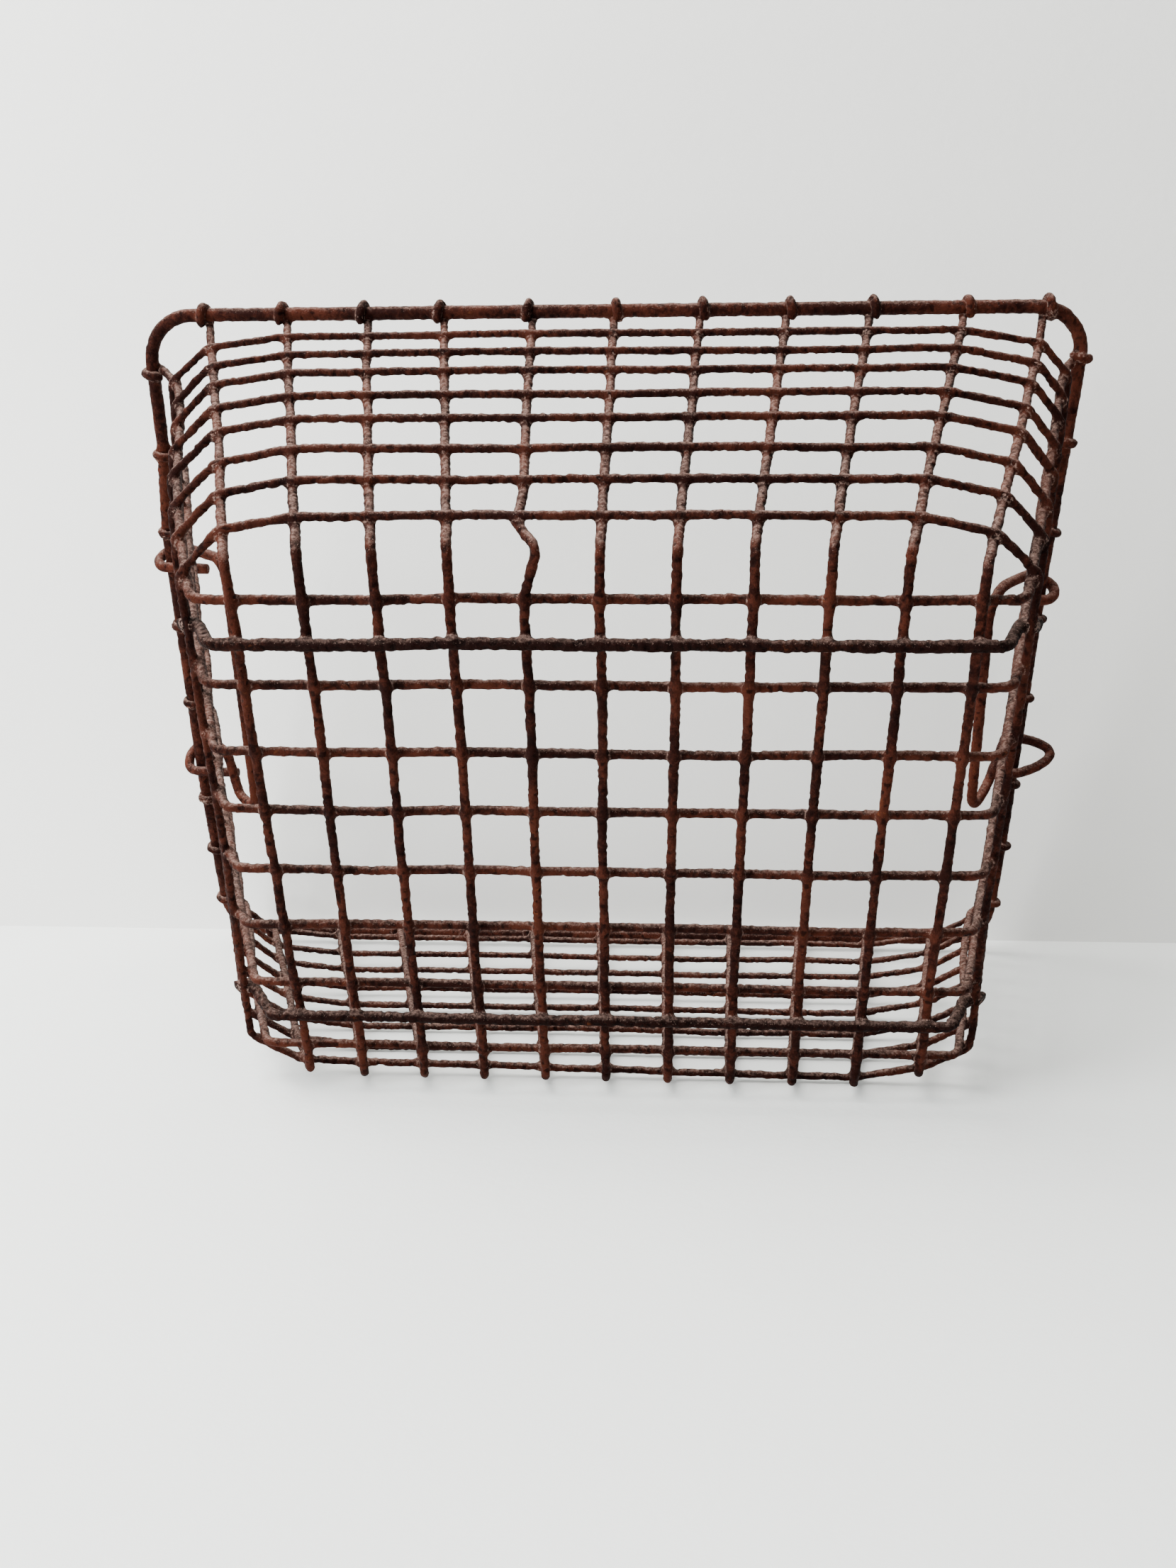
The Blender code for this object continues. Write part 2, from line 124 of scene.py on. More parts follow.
# A handle is set out as (reach from the end rod, side, height), folded into the basket by HANDLE_FOLD.
HANDLE_EYE = 5.9
EYE_BULGE_SHAPE = 0.9
HINGE_SPAN = 40.0
HANDLE_FOLD = math.radians(42)
KNEE_BEND = 6.0
KNEE_OUT, KNEE_DROP_SHARE = 3.5, 0.4  # how far to the side a knee lies, and with what share of the drop
HANDLES = {
    "left_handle": dict(side=-1, arms=(57.5, -45.0), ends=(50.0, -59.5), bulge=(6.2, 6.2), stubs=(19.0, 21.0),
                        knees=([(14.0, 58.5)], [(28.0, -67.0), (20.0, -46.5)]),
                        grip=((41.5, 61.5), (44.0, -69.0)), bends=(9.0, 6.0), drop=8.5),
    "right_handle": dict(side=1, arms=(43.5, -41.0), ends=(34.0, -57.0), bulge=(7.5, 20.0), stubs=(15.0, 4.0),
                         knees=([(14.0, 45.0)], [(15.0, -61.0)]),
                         grip=((42.5, 47.0), (33.0, -72.0)), bends=(14.0, 7.0), drop=3.0),
}

# How finely the bars are made.
STEP = 0.65                  # along a bar
SIDES = 14                   # round a bar
THICK_SIDES = 18             # round a bar of more than THICK millimetres' radius
THICK = 2.0
SMOOTHING = 1.6              # how far a bar's bends are eased
WELD_BLEND = 3.0             # how wide the weld fillets run
WELD_LIMIT = 2.0             # and how far out they stand at the most
WELD_PASSES = 6
WELD_REACH = 7.0             # wires further apart than this don't meet
WELD_MATES = 3               # how many others one point may be welded to
HOOK_LENGTH = HOOK_RADIUS * HOOK_WRAP
HOOK_FADE = 6.0              # the stretch in which a wire thins to its hook
HOOK_UNWELDED = 0.65         # how much less weld a hook has


# ---------------------------------------------------------------- centrelines

def rim_end(side, z):
    """x of the rim's left (-1) or right (+1) end rod at height z."""
    bow = np.interp(z, [height for height, out in RIM_BOW[side]], [out for height, out in RIM_BOW[side]])
    if side < 0:
        return RIM_LEFT + LEFT_LEAN * z - bow
    return RIM_RIGHT + RIGHT_LEAN * z + bow


def unit(v):
    return v / np.linalg.norm(v, axis=-1, keepdims=True)


def arc(start, turn, steps):
    return [start + turn * i / steps for i in range(steps + 1)]


def smoothstep(x, low, high):
    t = np.clip((x - low) / (high - low), 0.0, 1.0)
    return t * t * (3 - 2 * t)


def bend(corner, before, after, radius, steps=8):
    """Points of the round bend at corner, between the straight runs to before and after."""
    u = unit(corner - before)
    v = unit(after - corner)
    half_turn = 0.5 * math.acos(max(-1.0, min(1.0, float(np.dot(u, v)))))
    if half_turn < 0.02:
        return [corner]
    reach = radius * math.tan(half_turn)
    centre = corner + unit(v - u) * radius / math.cos(half_turn)
    first = corner - u * reach - centre
    side = u * radius
    return [centre + first * math.cos(a) + side * math.sin(a) for a in arc(0.0, 2 * half_turn, steps)]


def bent_wire(corners, radii, closed=False, steps=8):
    """A wire's centreline: straight runs through the corners, each rounded to its radius."""
    corners = [np.array(c, float) for c in corners]
    count = len(corners)
    path = []
    for i, corner in enumerate(corners):
        at_end = i in (0, count - 1) and not closed
        if at_end or radii[i] == 0:
            path.append(corner)
        else:
            path += bend(corner, corners[i - 1], corners[(i + 1) % count], radii[i], steps)
    return path


def tangent_angle(centre, radius, outside):
    """Where a straight wire from the point outside touches a circle, on its inner side."""
    away = np.array(outside, float) - np.array(centre, float)
    return math.atan2(away[1], away[0]) - math.acos(radius / np.linalg.norm(away))


def hook(corner, rod, radius, wrap=HOOK_WRAP, steps=18):
    """Round a rod, in the plane (outward, depth): from the wall, over the rod and back below it."""
    start = tangent_angle(rod, radius, corner)
    return [(rod[0] + radius * math.cos(a), rod[1] + radius * math.sin(a)) for a in arc(start, -wrap, steps)]


def long_wire_x(i, side, depth):
    """x of long wire i on the upper (+1) or lower (-1) wall."""
    base = (i - LAST / 2) * BASE_PITCH
    drift = UPPER_DRIFT[i] if side > 0 else LOWER_DRIFT[i]
    rim = (i - LAST / 2) * RIM_PITCH + drift
    share = min(1.0, depth / RIM_DEPTH)
    waist = UPPER_WAIST[i] * 4 * share * (1 - share) if side > 0 else 0.0
    return base + (rim - base) * depth / RIM_DEPTH + waist


def long_wall_z(depth, inset=0.0):
    """Height of the long wall's wires above the middle of the width."""
    slope_angle = math.atan2(RIM_HALF_WIDTH - BASE_HALF_WIDTH, RIM_DEPTH)
    rim = RIM_HALF_WIDTH - ROD_SEAT / math.cos(slope_angle) - WALL_FLARE
    share = depth / RIM_DEPTH
    held = min(1.0, (RIM_DEPTH - depth) / (RIM_DEPTH - HOOP_DEPTHS[0]))
    bow = WALL_BOW * 4 * share * (1 - share)
    return BASE_HALF_WIDTH + (rim - BASE_HALF_WIDTH) * share + bow - inset * held


def long_wire_path(i):
    """Hook, lower wall, base, upper wall, hook."""
    inset = END_WIRE_INSET.get(i, 0.0)
    path = []
    for side in (-1, 1):
        corner = (long_wall_z(0, inset), 0.0)
        x_base = long_wire_x(i, side, 0) + (LOWER_FOOT.get(i, 0.0) if side < 0 else 0.0)
        if side < 0 and i in LOWER_FOOT:
            corner = (corner[0] + LOWER_FOOT_SINKS, corner[1])
        depths = [HOOP_DEPTHS[k] for k in (6, 4, 2, 0)]
        wall = [(long_wire_x(i, side, d), d, side * long_wall_z(d, inset)) for d in depths]
        x_rim = long_wire_x(i, side, RIM_DEPTH)
        last = (long_wall_z(depths[-1], inset), depths[-1])
        turns = hook(last, (RIM_HALF_WIDTH, RIM_DEPTH), HOOK_RADIUS)
        slant = EYE_SLANT[i] / (len(turns) - 1)
        eye = [(x_rim + slant * n, y, side * z) for n, (z, y) in enumerate(turns)]
        rising = [(x_base, corner[1], side * corner[0])] + wall + eye
        radii = [WIRE_BEND] + [0] * (len(rising) - 1)
        if side < 0:
            path += list(zip(rising[::-1], radii[::-1]))
        else:
            path += list(zip(rising, radii))
    if i == KINKED_WIRE:
        path = kinked(path)
    return bent_wire([p for p, r in path], [r for p, r in path])


def kinked(path):
    """The knocked wire turns its corner to one side of its line, and comes back on the base."""
    corner = next(n for n, (p, r) in enumerate(path) if r and p[2] > 0)
    (x, y, z), radius = path[corner]
    foot = ((x, y, z - KINK_FOOT_BACK), KINK_FOOT_BEND)
    rise = HOOP_DEPTHS[-1]
    neck = ((long_wire_x(KINKED_WIRE, 1, rise) + KINK_NECK, rise, long_wall_z(rise)), KINK_NECK_BEND)
    return path[:corner] + [foot, ((x + KINK, y, z), KINK_BEND), neck] + path[corner + 1:]


def end_wall_x(side, z_rim, depth):
    """x of an end wall's wires, for the one that meets the rim at z_rim."""
    slope_angle = math.atan2(abs(rim_end(side, z_rim)) - BASE_HALF_LENGTH, RIM_DEPTH)
    rim = abs(rim_end(side, z_rim)) - ROD_SEAT / math.cos(slope_angle)
    share = (depth - WIRE_STEP) / (RIM_DEPTH - WIRE_STEP)
    crossings = [-z for z in (CROSS_RIM_LEFT if side < 0 else CROSS_RIM_RIGHT)]
    dent = np.interp(-z_rim, crossings, END_WALL_DIP[side]) * smoothstep(share, DIP_FROM[side], 0.8)
    return side * (BASE_HALF_LENGTH + (rim - BASE_HALF_LENGTH) * share - dent)


def cross_wire_z(j, side, depth):
    rim = CROSS_RIM_LEFT[j] if side < 0 else CROSS_RIM_RIGHT[j]
    return CROSS_BASE[j] + (rim - CROSS_BASE[j]) * depth / RIM_DEPTH


def cross_wire_path(j):
    """Hook, left wall, base, right wall, hook, inside the long wires."""
    path = []
    for side in (-1, 1):
        z_rim = cross_wire_z(j, side, RIM_DEPTH)
        depths = [HOOP_DEPTHS[k] for k in (6, 5, 4, 3, 2, 1, 0)]
        wall = [(end_wall_x(side, z_rim, d), d, cross_wire_z(j, side, d)) for d in depths]
        last = (abs(wall[-1][0]), depths[-1])
        hook_radius = TIGHT_HOOK_RADIUS if side < 0 and j in TIGHT_HOOKS else HOOK_RADIUS
        turns = hook(last, (side * rim_end(side, z_rim), RIM_DEPTH), hook_radius)
        rise = HOOK_RISE[side] / len(turns)
        drift = [rim_end(side, z_rim + rise * n) - rim_end(side, z_rim) for n in range(len(turns))]
        eye = [(side * x + drift[n], y, z_rim + rise * n) for n, (x, y) in enumerate(turns)]
        rising = [(side * BASE_HALF_LENGTH, WIRE_STEP, CROSS_BASE[j])] + wall + eye
        radii = [WIRE_BEND] + [0] * (len(rising) - 1)
        path += list(zip(rising[::-1], radii[::-1])) if side < 0 else list(zip(rising, radii))
    return bent_wire([p for p, r in path], [r for p, r in path])


def hoop_path(depth):
    """A closed hoop round the outside of the wall wires, with cut-off corners."""
    ring = []
    lifted = ((-1, 1),) if depth == HOOP_DEPTHS[-1] else ()
    for side, order in ((1, range(LONG_WIRES)), (-1, range(LAST, -1, -1))):
        picks = [i for i in order if i in (0, 1, LAST - 1, LAST)]
        for i in picks:
            inset = END_WIRE_INSET.get(i, 0.0) + (HOOP_LIFT if (side, i) in lifted else 0.0)
            ring.append((long_wire_x(i, side, depth), side * long_wall_z(depth, inset)))
        end = 1 if side > 0 else -1
        for j in (range(8) if side > 0 else range(7, -1, -1)):
            rim = CROSS_RIM_RIGHT[j] if end > 0 else CROSS_RIM_LEFT[j]
            loose = HOOP_LOOSE[end][j] * (1 - smoothstep(depth, *HOOP_CLOSES_IN))
            ring.append((end_wall_x(end, rim, depth) + end * loose, cross_wire_z(j, end, depth)))
    return ring_outside(ring, depth)


def ring_outside(ring, depth):
    """Move a clockwise ring of wire centres outward until the hoop lies round them."""
    count = len(ring)
    wall_gap = WIRE_STEP / math.cos(HOOP_WIRE_SLOPE)
    corners = []
    radii = []
    for n, here in enumerate(ring):
        here = np.array(here)
        u = unit(here - np.array(ring[n - 1]))
        v = unit(np.array(ring[(n + 1) % count]) - here)
        outward = unit(np.array([-u[1] - v[1], u[0] + v[0]]))
        half_turn = 0.5 * math.acos(max(-1.0, min(1.0, float(np.dot(u, v)))))
        sharp = half_turn > SHARP_TURN
        radius = HOOP_BEND if sharp else 0.0
        on_end_wall = abs(here[0]) > BASE_HALF_LENGTH - 1
        gap = HOOP_HUG if sharp or on_end_wall else wall_gap
        reach = gap + radius * (1 / math.cos(half_turn) - 1)
        corner = here + outward * reach
        corners.append((corner[0], depth, corner[1]))
        radii.append(radius)
    return bent_wire(corners, radii, closed=True)


def hoop_out(side, z, depth):
    """How far out a hoop passes the end wall at height z."""
    run = sorted((p[2], abs(p[0])) for p in hoop_path(depth) if side * p[0] > BASE_HALF_LENGTH)
    return float(np.interp(z, [height for height, out in run], [out for height, out in run]))


def runner_path(z):
    """A thick rod along the outside of the base, each end hooked round the hoop next to the base."""
    base_side = -(WIRE_RADIUS + RUNNER_RADIUS - RUNNER_SINKS)
    eye_radius = WIRE_RADIUS + RUNNER_RADIUS
    depth = HOOP_DEPTHS[-1]
    path = []
    for side in (-1, 1):
        wall = hoop_out(side, z, depth)
        turn = (BASE_HALF_LENGTH - RUNNER_TURN_INSET, base_side)
        eye = [(side * x, y, z) for x, y in hook(turn, (wall, depth), eye_radius, RUNNER_WRAP, 10)]
        rising = [(side * turn[0], turn[1], z)] + eye
        radii = [RUNNER_TURN_BEND] + [0] * len(eye)
        path += list(zip(rising[::-1], radii[::-1])) if side < 0 else list(zip(rising, radii))
    return bent_wire([p for p, r in path], [r for p, r in path])


def rim_path():
    """The closed rim: round corners, and the heights where its end rods are knocked out of line."""
    w = RIM_HALF_WIDTH
    corners = []
    radii = []
    for side, turn in ((-1, 1), (1, -1)):
        knocks = [z for z, out in RIM_BOW[side] if abs(z) < w - RIM_CORNER_RADIUS - KNOCK_CLEAR]
        for z in [-w] + knocks + [w] if turn > 0 else [w] + knocks[::-1] + [-w]:
            corners.append((rim_end(side, z), RIM_DEPTH, z))
            radii.append(RIM_CORNER_RADIUS if abs(z) == w else 0)
    return bent_wire(corners, radii, closed=True, steps=14)


def handle_eye(arm, end, bulge, stub):
    """Round the end rod from the arm's side, in (reach, side, height), out to the cut end."""
    wrap = math.pi + (math.pi / 2 - HANDLE_FOLD)
    turns = []
    for a in arc(0.0, wrap, 24):
        bulging = (bulge - HANDLE_EYE) * max(0.0, math.sin(a)) ** EYE_BULGE_SHAPE
        height = arm + (end - arm) * min(1.0, a / math.pi)
        reach = -HANDLE_EYE * math.sin(a) - bulging * math.sin(HANDLE_FOLD)
        side = HANDLE_EYE * math.cos(a) - bulging * math.cos(HANDLE_FOLD)
        clear = max(1.0, HANDLE_EYE / math.hypot(reach, side))
        turns.append((reach * clear, side * clear, height))
    reach, side, height = turns[-1]
    tip = (reach + stub * math.sin(HANDLE_FOLD), side + stub * math.cos(HANDLE_FOLD), height)
    return turns + [tip]


def handle_path(spec):
    """Cut end, upper eye, arm, grip, arm, lower eye, cut end, in the basket's frame."""
    upper = handle_eye(spec["arms"][0], spec["ends"][0], spec["bulge"][0], spec["stubs"][0])
    lower = handle_eye(spec["arms"][1], spec["ends"][1], spec["bulge"][1], spec["stubs"][1])
    drop = spec["drop"]
    grip = [(reach, drop, z) for reach, z in spec["grip"]]
    knee_side = KNEE_OUT + KNEE_DROP_SHARE * drop
    top_knees, low_knees = ([(reach, knee_side, z) for reach, z in knees] for knees in spec["knees"])
    corners = upper[::-1] + top_knees + grip + low_knees + lower
    bends = [KNEE_BEND] * len(top_knees) + [*spec["bends"]] + [KNEE_BEND] * len(low_knees)
    radii = [0] * len(upper) + bends + [0] * len(lower)
    side = spec["side"]
    reach_axis = Vector((-math.sin(HANDLE_FOLD) * side, -math.cos(HANDLE_FOLD), 0))
    side_axis = Vector((-math.cos(HANDLE_FOLD) * side, math.sin(HANDLE_FOLD), 0))
    low, high = rim_end(side, -HINGE_SPAN), rim_end(side, HINGE_SPAN)
    lean = Matrix.Rotation(math.atan2(high - low, 2 * HINGE_SPAN), 3, "Y")
    rod = Vector((rim_end(side, 0), RIM_DEPTH, 0))
    path = bent_wire(corners, radii)
    places = [rod + lean @ (reach_axis * p[0] + side_axis * p[1] + Vector((0, 0, p[2]))) for p in path]
    return [np.array(p) for p in places]


# ---------------------------------------------------------------- the rusted surface

def lattice(cell, seed):
    """One steady random value from -1 to 1 for each whole-number cell."""
    x, y, z = (cell[..., n].astype(np.uint32) for n in range(3))
    h = x * np.uint32(374761393) + y * np.uint32(668265263) + z * np.uint32(2246822519)
    h = (h + np.uint32(seed * 40503 + 977)) * np.uint32(3266489917)
    h = (h ^ (h >> np.uint32(15))) * np.uint32(2654435761)
    h = h ^ (h >> np.uint32(13))
    return h.astype(np.float64) / 2147483648.0 - 1.0


def noise(p, size, seed):
    """Smooth noise from -1 to 1 at the points p, with features of about size."""
    q = p / size
    cell = np.floor(q)
    t = q - cell
    cell = cell.astype(np.int64)
    t = t * t * (3 - 2 * t)
    total = 0.0
    for corner in product((0, 1), repeat=3):
        weight = 1.0
        for n, up in enumerate(corner):
            weight = weight * (t[..., n] if up else 1 - t[..., n])
        total = total + weight * lattice(cell + np.array(corner), seed)
    return total


def relief(p, rough):
    """How far the rust stands out of the bar, in millimetres, at the points p."""
    swell = 0.07 * noise(p, 9.0, 1)
    lumps = 0.08 * noise(p, 2.4, 2)
    grain = 0.20 * noise(p, 1.35, 3)
    scale = 0.12 * smoothstep(noise(p, 2.2, 4), 0.12, 0.26)
    pits = -0.28 * smoothstep(noise(p, 1.7, 5), 0.42, 0.62)
    return rough * (swell + lumps + grain + scale + pits)


def resample(points, closed):
    """Evenly spaced points along a polyline, with its corners eased."""
    points = np.array(points, float)
    if closed:
        points = np.vstack([points, points[:1]])
    lengths = np.linalg.norm(np.diff(points, axis=0), axis=1)
    keep = np.concatenate([[True], lengths > 1e-6])
    points = points[keep]
    along = np.concatenate([[0], np.cumsum(np.linalg.norm(np.diff(points, axis=0), axis=1))])
    count = int(round(along[-1] / STEP))
    at = np.linspace(0, along[-1], count + 1)
    even = np.stack([np.interp(at, along, points[:, n]) for n in range(3)], axis=1)
    if closed:
        even = even[:-1]
    reach = int(math.ceil(2.5 * SMOOTHING / STEP))
    kernel = np.exp(-0.5 * (np.arange(-reach, reach + 1) * STEP / SMOOTHING) ** 2)
    kernel /= kernel.sum()
    if closed:
        padded = np.vstack([even[-reach:], even, even[:reach]])
    else:
        head = 2 * even[0] - even[reach:0:-1]
        tail = 2 * even[-1] - even[-2:-reach - 2:-1]
        padded = np.vstack([head, even, tail])
    return np.stack([np.convolve(padded[:, n], kernel, "valid") for n in range(3)], axis=1)


def wander(path):
    """Hand-made wires are never quite straight; wires that touch stray together."""
    shift = [0.45 * noise(path, 46.0, 11 + n) + 0.16 * noise(path, 15.0, 21 + n) for n in range(3)]
    return path + np.stack(shift, axis=-1)


def tangents(path, closed):
    if closed:
        return unit(np.roll(path, -1, axis=0) - np.roll(path, 1, axis=0))
    return unit(np.gradient(path, axis=0))


def across(path, closed):
    """Two directions across the bar at each point, carried along it without twisting."""
    t = tangents(path, closed)
    first = np.cross(t[0], (0.0, 0.0, 1.0) if abs(t[0][2]) < 0.8 else (0.0, 1.0, 0.0))
    sides = [unit(first)]
    for here in t[1:]:
        v = sides[-1] - here * np.dot(sides[-1], here)
        sides.append(v / math.sqrt(np.dot(v, v)))
    sides = np.array(sides)
    ups = np.cross(t, sides)
    if closed:
        end = sides[-1] - t[0] * np.dot(sides[-1], t[0])
        miss = math.atan2(np.dot(end, ups[0]), np.dot(end, sides[0]))
        turn = -miss * np.arange(len(path))[:, None] / len(path)
        sides, ups = sides * np.cos(turn) + ups * np.sin(turn), ups * np.cos(turn) - sides * np.sin(turn)
    return sides, ups


class Bar:
    """One bent bar: its centreline, its radius at each point, and the bars near enough to be welded to it."""

    def __init__(self, name, body, path, radius, rough, closed=False, stray=True, hooked=False):
        self.name = name
        self.body = body
        self.radius = radius
        self.rough = rough
        self.closed = closed
        path = resample(path, closed)
        self.path = wander(path) if stray else path
        self.tangent = tangents(self.path, closed)
        self.radii = np.full(len(path), radius)
        self.weldable = np.ones(len(path))
        self.near = None
        if hooked:
            from_end = np.minimum(np.arange(len(path)), np.arange(len(path))[::-1]) * STEP
            thinned = 1 - smoothstep(from_end, HOOK_LENGTH, HOOK_LENGTH + HOOK_FADE)
            self.radii *= 1 - (1 - HOOK_THINNED) * thinned
            self.weldable *= 1 - HOOK_UNWELDED * thinned


def find_neighbours(bars):
    """For each point of each bar, the nearest points of the bars it may be welded to."""
    owner = np.concatenate([np.full(len(b.path), n) for n, b in enumerate(bars)])
    points = np.concatenate([b.path for b in bars])
    tangent = np.concatenate([b.tangent for b in bars])
    radii = np.concatenate([b.radii for b in bars])
    tree = KDTree(len(points))
    for n, p in enumerate(points):
        tree.insert(p, n)
    tree.balance()
    for n, bar in enumerate(bars):
        count = len(bar.path)
        bar.near = np.full((count, WELD_MATES), -1)
        for k, p in enumerate(bar.path):
            best = {}
            for place, index, distance in tree.find_range(p, WELD_REACH):
                other = owner[index]
                if other != n and (other not in best or distance < best[other][0]):
                    best[other] = (distance, index)
            for slot, (distance, index) in enumerate(sorted(best.values())[:WELD_MATES]):
                bar.near[k, slot] = index
        bar.near_points = points[bar.near]
        bar.near_tangents = tangent[bar.near]
        bar.near_radii = radii[bar.near]


def to_other(v, bar, slot):
    """Distance from the points v to the surface of each ring's neighbour."""
    away = v - bar.near_points[:, slot][:, None]
    t = bar.near_tangents[:, slot][:, None]
    away = away - np.sum(away * t, axis=-1, keepdims=True) * t
    distance = np.linalg.norm(away, axis=-1) - bar.near_radii[:, slot][:, None]
    return np.where(bar.near[:, slot][:, None] < 0, 99.0, distance)


def weld_out(bar, centre, radial):
    """How far out each point of the bar stands where the weld fills the corner to its neighbour."""
    out = np.zeros(radial.shape[:2])
    for _ in range(WELD_PASSES):
        v = centre + radial * (bar.radii[:, None] + out)[..., None]
        others = [to_other(v, bar, slot) for slot in range(bar.near.shape[1])]
        surface = out
        for other in others:
            h = np.maximum(WELD_BLEND - np.abs(surface - other), 0) / WELD_BLEND
            surface = np.minimum(surface, other) - h * h * WELD_BLEND / 4
        out = np.clip(out - surface, 0, WELD_LIMIT * bar.weldable[:, None])
    return out


# A bar's cut end, as steps of (how far past the end, share of the bar's thickness).
CUT_END = ((0.0, 1.0), (0.20, 0.95), (0.38, 0.82), (0.46, 0.5), (0.47, 0.08))


def bar_mesh(bar):
    """Rings of points along the bar, filled out at the welds and roughened with rust."""
    sides = THICK_SIDES if bar.radius > THICK else SIDES
    side, up = across(bar.path, bar.closed)
    angle = np.linspace(0, 2 * math.pi, sides, endpoint=False)
    radial = side[:, None] * np.cos(angle)[None, :, None] + up[:, None] * np.sin(angle)[None, :, None]
    centre = bar.path[:, None]
    weld = weld_out(bar, centre, radial) if bar.near is not None else np.zeros(radial.shape[:2])
    smooth = centre + radial * (bar.radii[:, None] + weld)[..., None]
    height = relief(smooth, bar.rough)
    rings = smooth + radial * height[..., None]
    if not bar.closed:
        first = [rings[0] * 0 + bar.path[0] - bar.tangent[0] * off + (rings[0] - bar.path[0]) * share
                 for off, share in CUT_END[:0:-1]]
        last = [bar.path[-1] + bar.tangent[-1] * off + (rings[-1] - bar.path[-1]) * share
                for off, share in CUT_END[1:]]
        rings = np.concatenate([first, rings, last])
        caps = len(CUT_END) - 1
        height = np.pad(height, ((caps, caps), (0, 0)), "edge")
        weld = np.pad(weld, ((caps, caps), (0, 0)), "edge")
    return rings, height, weld


def mesh_from_rings(name, rings, closed, values):
    """A closed tube from rings of points, in the row frame, with its surface values stored on it."""
    count, sides = rings.shape[:2]
    spans = count if closed else count - 1
    a = np.arange(spans)[:, None] * sides + np.arange(sides)[None]
    b = np.arange(spans)[:, None] * sides + (np.arange(sides)[None] + 1) % sides
    c = (b + sides) % (count * sides)
    d = (a + sides) % (count * sides)
    quads = np.stack([a, b, c, d], axis=-1).reshape(-1, 4)
    loops = quads.ravel()
    starts = np.arange(len(quads)) * 4
    if not closed:
        loops = np.concatenate([loops, np.arange(sides)[::-1], (count - 1) * sides + np.arange(sides)])
        starts = np.concatenate([starts, [len(quads) * 4, len(quads) * 4 + sides]])
    mesh = bpy.data.meshes.new(name)
    flat = to_row_frame(rings.reshape(-1, 3))
    mesh.vertices.add(len(flat))
    mesh.vertices.foreach_set("co", flat.astype(np.float32).ravel())
    mesh.loops.add(len(loops))
    mesh.loops.foreach_set("vertex_index", loops.astype(np.int32))
    mesh.polygons.add(len(starts))
    mesh.polygons.foreach_set("loop_start", starts.astype(np.int32))
    for key, value in values.items():
        attribute = mesh.attributes.new(key, "FLOAT", "POINT")
        attribute.data.foreach_set("value", value.ravel().astype(np.float32))
    mesh.update(calc_edges=True)
    mesh.validate()
    mesh.shade_smooth()
    return mesh


# ---------------------------------------------------------------- from the basket's frame to the row frame

STAND = Matrix.Rotation(STAND_ANGLE, 3, "X")
left_swing = next(j for j in frame["joints"] if j["child"] == "left_handle")
basket_origin = Vector(left_swing["pos_m"]) - STAND @ (Vector((rim_end(-1, 0), RIM_DEPTH, 0)) * MM)


def to_row_frame(points):
    return points @ np.array(STAND).T * MM + np.array(basket_origin)


# ---------------------------------------------------------------- materials

def add(tree, kind, **inputs):
    node = tree.nodes.new(kind)
    for key, value in inputs.items():
        if isinstance(value, bpy.types.NodeSocket):
            tree.links.new(value, node.inputs[key])
        else:
            node.inputs[key].default_value = value
    return node


def cloud(tree, where, size_mm, detail=3.0, roughness=0.6, distortion=0.0):
    """Noise with features of about size_mm."""
    node = add(tree, "ShaderNodeTexNoise", Vector=where)
    node.inputs["Scale"].default_value = 1000.0 / size_mm    # the coordinates are in metres
    node.inputs["Detail"].default_value = detail
    node.inputs["Roughness"].default_value = roughness
    node.inputs["Distortion"].default_value = distortion
    return node.outputs["Fac"]


def between(tree, value, low, high, to_low=0.0, to_high=1.0):
    node = tree.nodes.new("ShaderNodeMapRange")
    node.interpolation_type = "SMOOTHSTEP"
    tree.links.new(value, node.inputs["Value"])
    for key, number in (("From Min", low), ("From Max", high), ("To Min", to_low), ("To Max", to_high)):
        node.inputs[key].default_value = number
    return node.outputs["Result"]


def math_node(tree, operation, a, b):
    node = tree.nodes.new("ShaderNodeMath")
    node.operation = operation
    for socket, value in zip(node.inputs, (a, b)):
        if isinstance(value, bpy.types.NodeSocket):
            tree.links.new(value, socket)
        else:
            socket.default_value = value
    return node.outputs[0]


def blend_colour(tree, share, a, b):
    node = tree.nodes.new("ShaderNodeMix")
    node.data_type = "RGBA"
    tree.links.new(share, node.inputs[0])
    for socket, value in ((node.inputs[6], a), (node.inputs[7], b)):
        if isinstance(value, bpy.types.NodeSocket):
            tree.links.new(value, socket)
        else:
            socket.default_value = (*value, 1)
    return node.outputs[2]


def stored(tree, key):
    node = tree.nodes.new("ShaderNodeAttribute")
    node.attribute_type = "GEOMETRY"
    node.attribute_name = key
    return node.outputs["Fac"]


# The rust's features, in millimetres, and how strongly its pits, weld crumbs and painted glints (pale specks
# painted in place of highlights) show.
PATCH_SIZE = 38.0
MOTTLE_SIZE = 3.2
GRAIN_SIZE = 1.3
FLECK_SIZE = 0.6
FLAKE_SIZE = 2.2
PIT_STRENGTH = 0.8
CRUMB_STRENGTH = 0.55
PAINTED_GLINT_STRENGTH = 0.7


